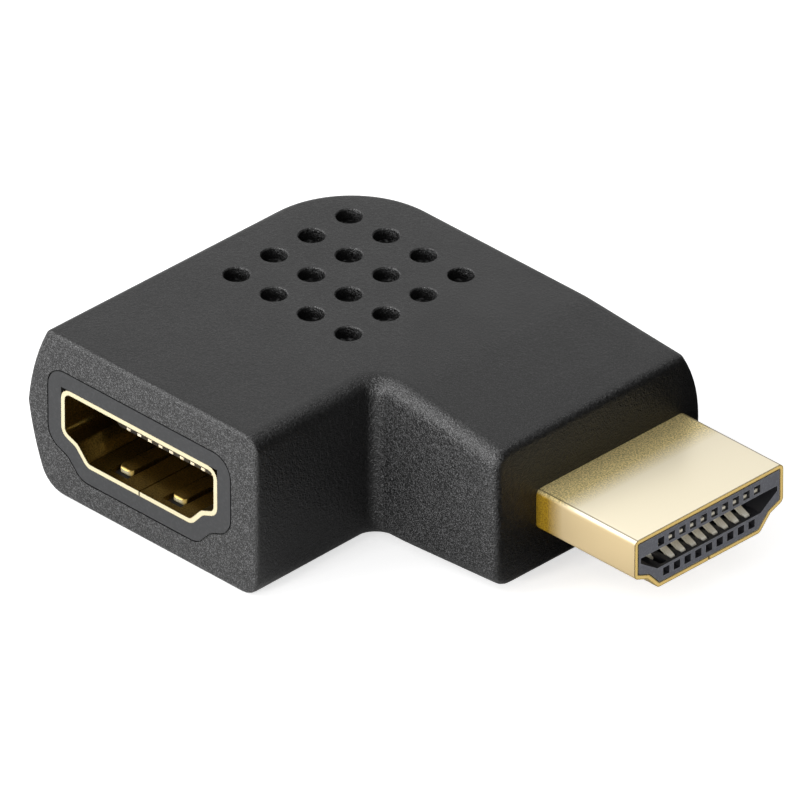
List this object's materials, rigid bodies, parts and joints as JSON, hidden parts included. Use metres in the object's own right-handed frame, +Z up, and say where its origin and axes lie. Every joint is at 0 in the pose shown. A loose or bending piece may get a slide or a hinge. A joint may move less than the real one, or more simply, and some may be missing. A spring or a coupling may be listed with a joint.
{
  "type": "right angle hdmi adapter",
  "caption": "Flat L-shaped moulded adapter that turns a digital video lead through a right angle, with a gold-plated plug on one arm and a matching socket in the end of the other.",
  "frame": {"origin": "under the middle of the whole part's box, on the flat underside that it stands on", "axes": "+X the way the plug points, -Y the way the socket opens, +Z up from the underside"},
  "size_m": [0.0418, 0.0304, 0.0124],
  "materials": {
    "housing": "fine matt grain",
    "inner_moulding": "smooth satin",
    "socket_gold": "gold plated",
    "plug_gold": "gold plated",
    "contact_gold": "gold plated",
    "socket_insulator": "satin",
    "plug_insulator": "satin",
    "board": "solder resist"
  },
  "bodies": {
    "root": {"overmould": "housing", "premould": "inner_moulding", "socket_shell": "socket_gold", "socket_insulator": "socket_insulator", "plug_shell": "plug_gold", "plug_insulator": "plug_insulator", "circuit_board": "board", "plug_upper_contact_1": "contact_gold", "plug_upper_contact_2": "contact_gold", "plug_upper_contact_3": "contact_gold", "plug_upper_contact_4": "contact_gold", "plug_upper_contact_5": "contact_gold", "plug_upper_contact_6": "contact_gold", "plug_upper_contact_7": "contact_gold", "plug_upper_contact_8": "contact_gold", "plug_upper_contact_9": "contact_gold", "plug_upper_contact_10": "contact_gold", "plug_lower_contact_1": "contact_gold", "plug_lower_contact_2": "contact_gold", "plug_lower_contact_3": "contact_gold", "plug_lower_contact_4": "contact_gold", "plug_lower_contact_5": "contact_gold", "plug_lower_contact_6": "contact_gold", "plug_lower_contact_7": "contact_gold", "plug_lower_contact_8": "contact_gold", "plug_lower_contact_9": "contact_gold", "socket_upper_contact_1": "contact_gold", "socket_upper_contact_2": "contact_gold", "socket_upper_contact_3": "contact_gold", "socket_upper_contact_4": "contact_gold", "socket_upper_contact_5": "contact_gold", "socket_upper_contact_6": "contact_gold", "socket_upper_contact_7": "contact_gold", "socket_upper_contact_8": "contact_gold", "socket_upper_contact_9": "contact_gold", "socket_upper_contact_10": "contact_gold", "socket_lower_contact_1": "contact_gold", "socket_lower_contact_2": "contact_gold", "socket_lower_contact_3": "contact_gold", "socket_lower_contact_4": "contact_gold", "socket_lower_contact_5": "contact_gold", "socket_lower_contact_6": "contact_gold", "socket_lower_contact_7": "contact_gold", "socket_lower_contact_8": "contact_gold", "socket_lower_contact_9": "contact_gold"}
  },
  "joints": []
}
